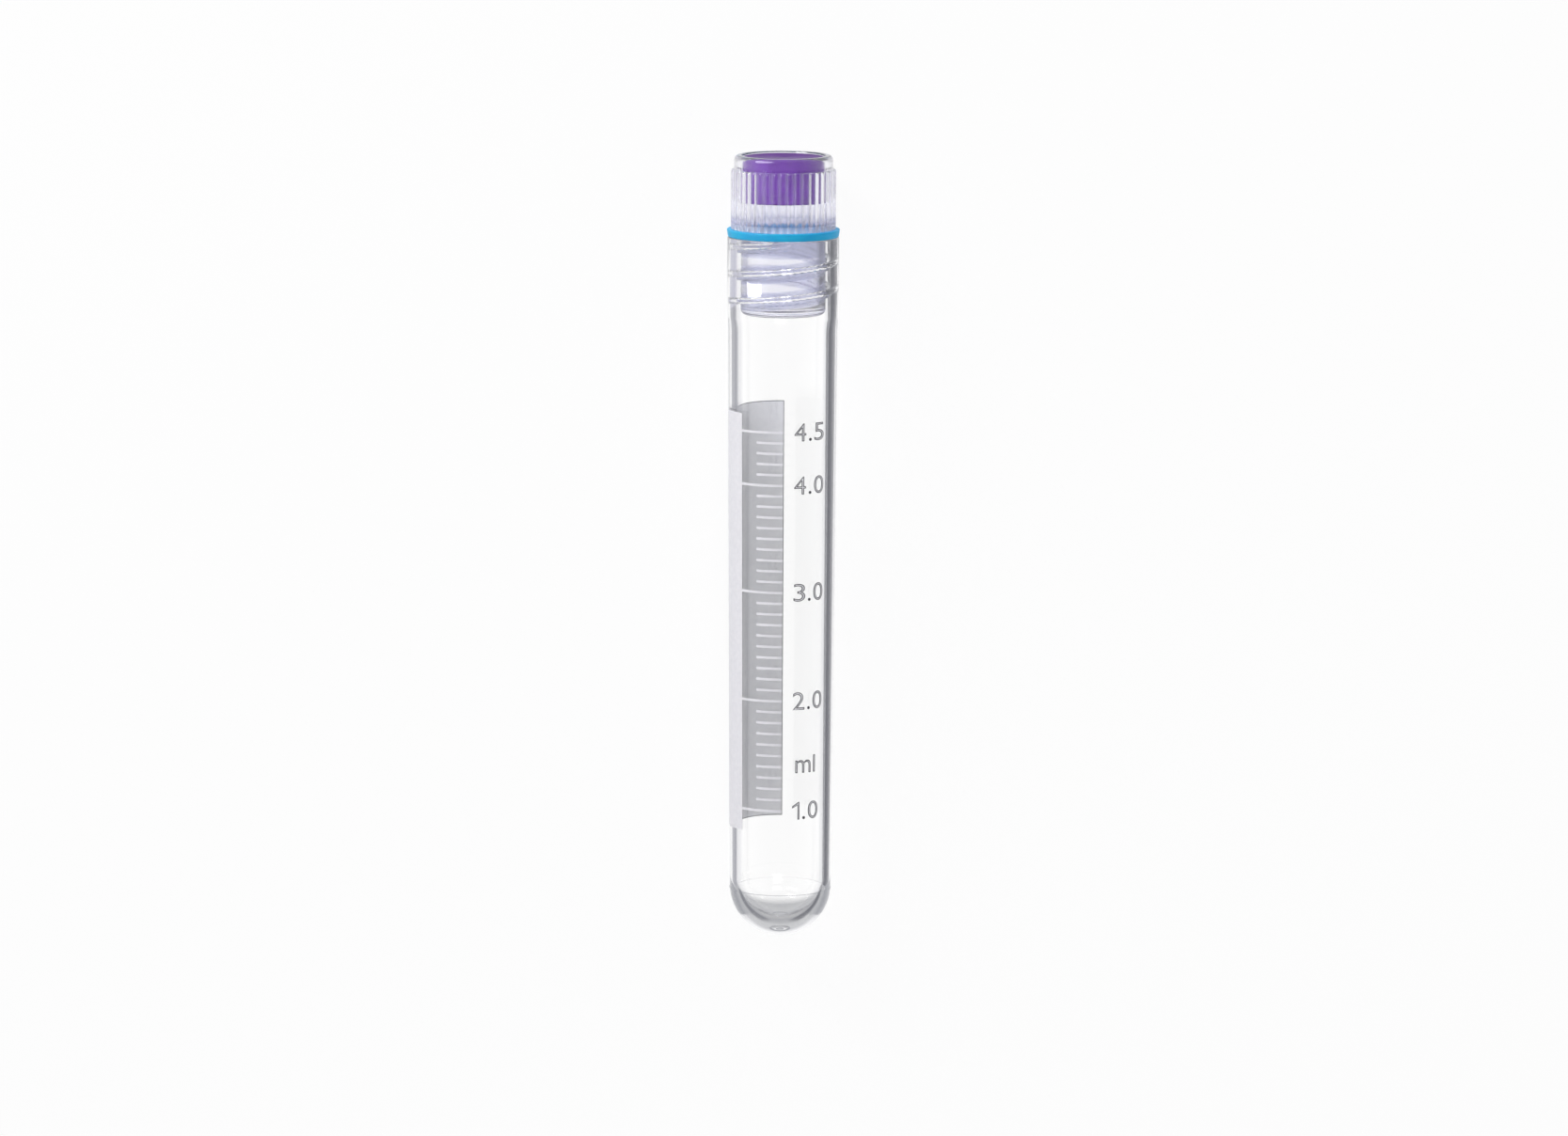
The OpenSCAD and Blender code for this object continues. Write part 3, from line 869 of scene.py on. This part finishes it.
# bright panels that only mirror: one in the rounded edge of the crown, one along the ribs of the cap;
# size and aim in metres, turn to the side and rise towards the cap in degrees
panels = [
    {"name": "glintPanel", "size": (0.20, 0.26), "aim": tubeHigh[1], "turn": -52,
     "rise": 28, "strength": 9.0},
    {"name": "ribPanel", "size": (0.18, 0.014), "aim": ringHigh[1] + 3.5 * mm, "turn": -62,
     "rise": -view["tilt"], "strength": 14.0},
]
panelDistance = 0.3
for panel in panels:
    sheet = makeSheet(
        panel["name"], panel["size"],
        Matrix.Translation((0, panel["aim"], axisHeight))
        @ Matrix.Rotation(math.radians(panel["turn"]), 4, "Y")
        @ Matrix.Rotation(math.radians(-panel["rise"]), 4, "X")
        @ Matrix.Translation((0, 0, panelDistance)),
        makeGlow(panel["name"] + "Glow", "ffffff", panel["strength"]),
    )
    sheet.visible_camera = False
    sheet.visible_diffuse = False
    sheet.visible_transmission = False
    sheet.visible_shadow = False

roomTones = [(0.15, "f4f4f4"), (0.7, "8e8e8e"), (0.95, "606060")]  # by height, horizon to overhead


def makeRoom():
    # white to straight and refracted rays; as a light, bright round the horizon and dimmer overhead
    world = bpy.data.worlds.new("softRoom")
    bpy.context.scene.world = world
    world.use_nodes = True
    world.node_tree.nodes.clear()
    path = addNode(world, "ShaderNodeLightPath").outputs
    passed = addNode(
        world, "ShaderNodeMath", {0: path["Transmission Depth"], 1: once}, operation="GREATER_THAN"
    )
    straight = addNode(
        world, "ShaderNodeMath", {0: path["Is Camera Ray"], 1: passed.outputs[0]},
        operation="ADD", use_clamp=True,
    )
    where = addNode(world, "ShaderNodeTexCoord").outputs["Generated"]
    height = addNode(world, "ShaderNodeSeparateXYZ", {"Vector": where}).outputs["Z"]
    tone = addNode(world, "ShaderNodeValToRGB", {"Fac": height}, roomTones)
    room = addNode(world, "ShaderNodeBackground", {"Color": tone.outputs["Color"]}, in_Strength=1.0)
    seen = addNode(world, "ShaderNodeBackground", in_Color=linear("ffffff"), in_Strength=1.0)
    mixed = addNode(
        world, "ShaderNodeMixShader", {0: straight.outputs[0], 1: room.outputs[0], 2: seen.outputs[0]}
    )
    addNode(world, "ShaderNodeOutputWorld", {"Surface": mixed.outputs[0]})


makeRoom()

# side and rise in degrees round the vial, distance and size in metres
lamps = [
    {"name": "keyLeft", "side": -46, "rise": 42, "distance": 0.6, "size": (0.3, 0.12), "watts": 1.7,
     "mirrored": True},
    {"name": "topSoft", "side": 8, "rise": 12, "distance": 0.7, "size": (0.3, 0.3), "watts": 1.3,
     "mirrored": False},
]
for lamp in lamps:
    data = bpy.data.lights.new(lamp["name"], "AREA")
    data.shape = "RECTANGLE"
    data.size, data.size_y = lamp["size"]
    data.energy = lamp["watts"]
    holder = bpy.data.objects.new(lamp["name"], data)
    holder.visible_glossy = lamp["mirrored"]
    bpy.context.scene.collection.objects.link(holder)
    holder.matrix_world = (
        Matrix.Translation((0, 0, axisHeight))
        @ Matrix.Rotation(math.radians(lamp["side"]), 4, "Y")
        @ Matrix.Rotation(math.radians(-lamp["rise"]), 4, "X")
        @ Matrix.Translation((0, 0, lamp["distance"]))
    )
print("studio lit")
